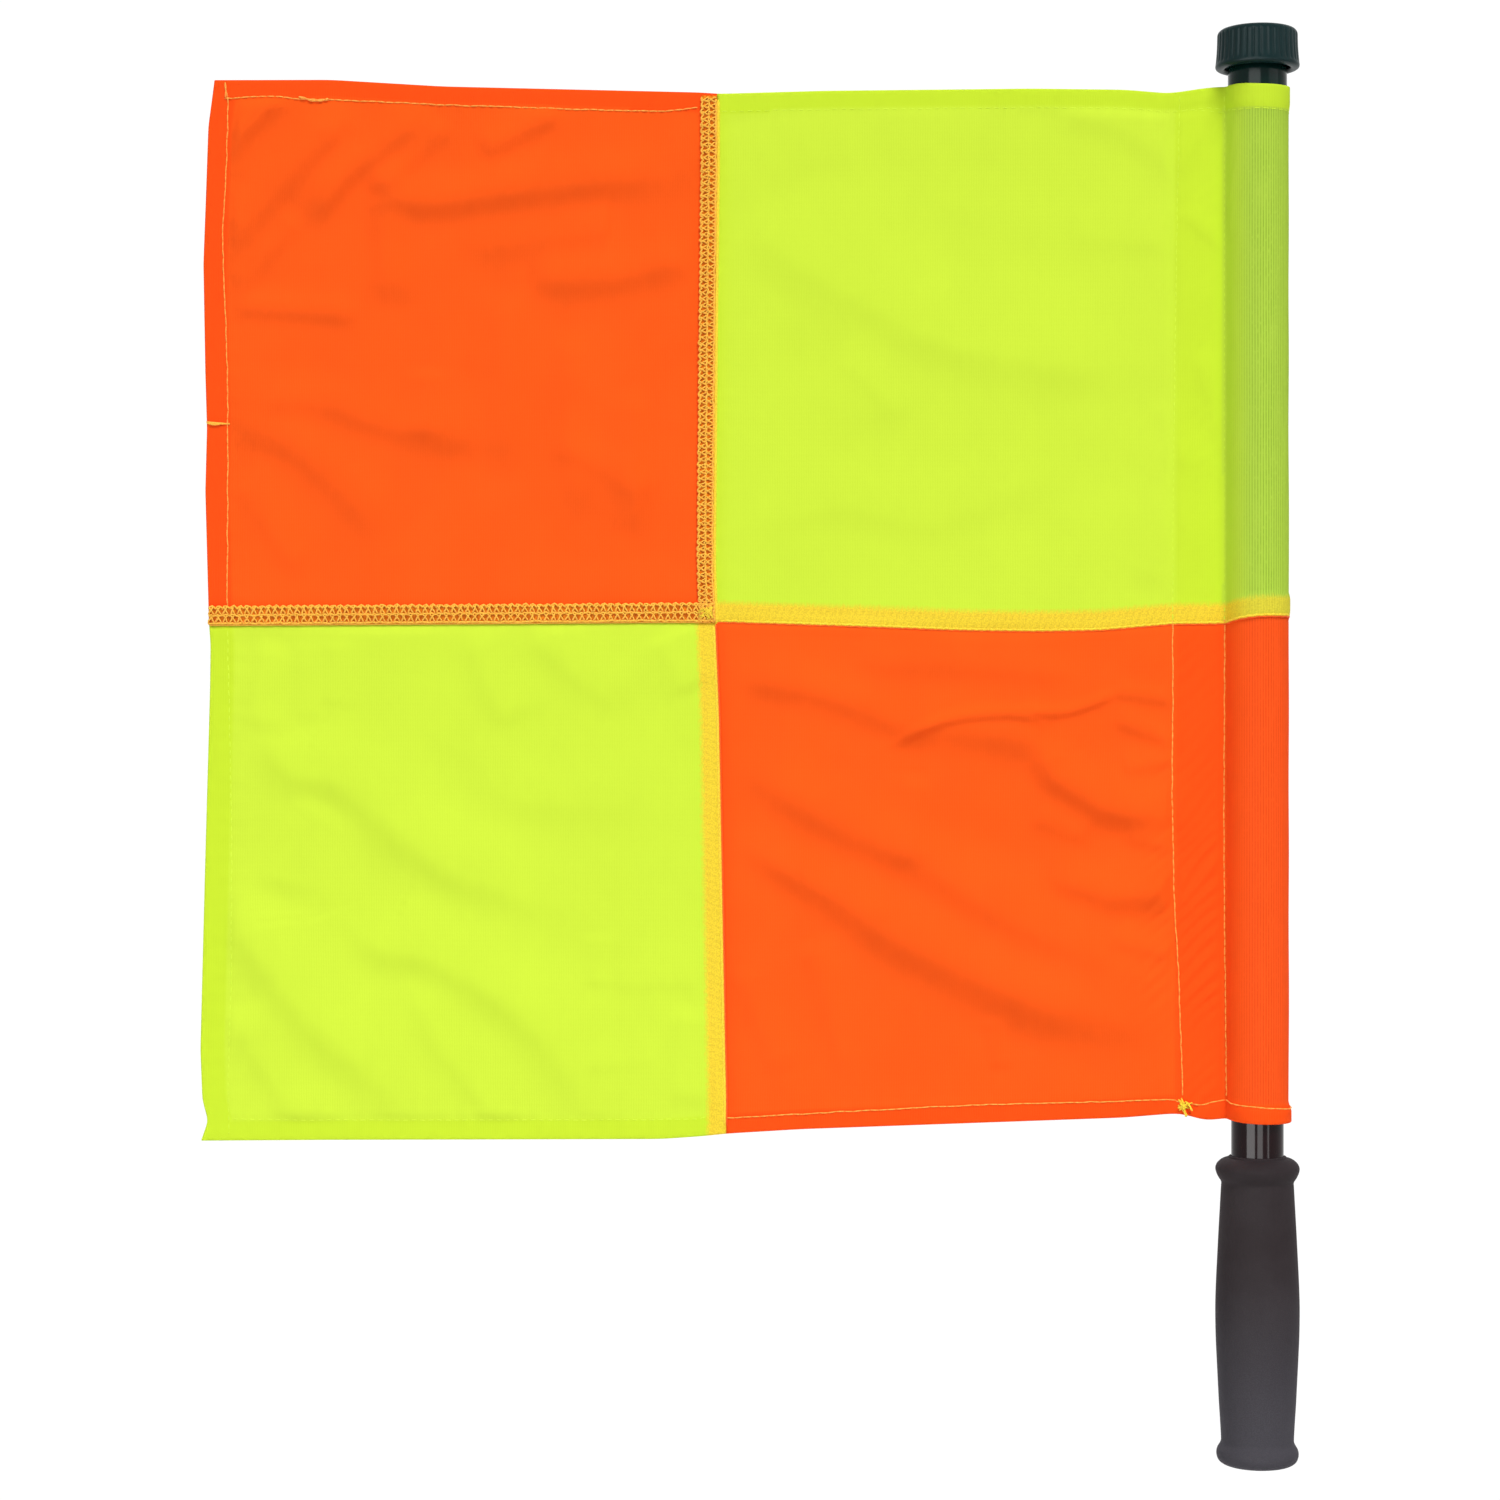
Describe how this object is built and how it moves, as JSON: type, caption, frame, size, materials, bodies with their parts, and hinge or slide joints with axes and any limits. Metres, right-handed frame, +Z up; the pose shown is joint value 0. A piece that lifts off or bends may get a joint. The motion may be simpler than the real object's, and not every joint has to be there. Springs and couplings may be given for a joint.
{
  "type": "linesman flag",
  "caption": "Hand-held quartered cloth flag on an outer tube that spins on the pole of a moulded grip, kept on by a ribbed screw cap.",
  "frame": {"origin": "on the pole's axis at the widest place of the grip's barrel, where the hand holds it", "axes": "+Z up the pole from the butt to the cap, -X towards the fly edge of the cloth, -Y out of the cloth's front"},
  "size_m": [0.3994, 0.0308, 0.5237],
  "materials": {
    "dark_tube": "glossy near-black extruded plastic",
    "outer_tube_plastic": "satin green-black extruded plastic",
    "fittings": "black moulded plastic",
    "washer": "natural nylon",
    "cap_plastic": "green-black moulded plastic with a fine sheen",
    "grip_rubber": "matte dark grey foam rubber",
    "orange_cloth": "fluorescent orange fine knit polyester",
    "yellow_cloth": "fluorescent yellow fine knit polyester",
    "overlock_thread": "yellow overlock thread over cloth edges",
    "sewing_thread": "yellow polyester sewing thread"
  },
  "bodies": {
    "handle": {"inner_tube": "dark_tube", "grip": "grip_rubber", "end_plug": "fittings", "cap_bush": "fittings", "stop_collar": "fittings"},
    "flag": {"outer_tube": "outer_tube_plastic", "fly_upper": "orange_cloth", "hoist_upper": "yellow_cloth", "fly_lower": "yellow_cloth", "hoist_lower": "orange_cloth", "upper_seam": "overlock_thread", "fly_seam": "overlock_thread", "lower_seam": "overlock_thread", "hoist_seam": "overlock_thread", "fly_hem_stitch": "sewing_thread", "top_hem_stitch": "sewing_thread", "bottom_hem_stitch": "sewing_thread", "sleeve_flap_stitch": "sewing_thread", "sleeve_pole_stitch": "sewing_thread", "sleeve_bar_tack": "sewing_thread", "fly_hem_tack": "sewing_thread"},
    "washer": {"cap_washer": "washer"},
    "cap": {"cap": "cap_plastic"}
  },
  "joints": [
    {"name": "flag_spin", "type": "hinge", "parent": "handle", "child": "flag", "pos_m": [0, 0, 0.25], "axis": [0, 0, 1], "continuous": true},
    {"name": "cap_lift", "type": "slide", "parent": "handle", "child": "washer", "axis": [0, 0, 1], "range_m": [0, 0.0101]},
    {"name": "cap_turn", "type": "hinge", "parent": "washer", "child": "cap", "pos_m": [0, 0, 0.465], "axis": [0, 0, 1], "range_deg": [0, 1440]}
  ],
  "couplings": [
    {"joint": "cap_lift", "follows": "cap_turn", "m_per_rad": 0.00039789}
  ]
}
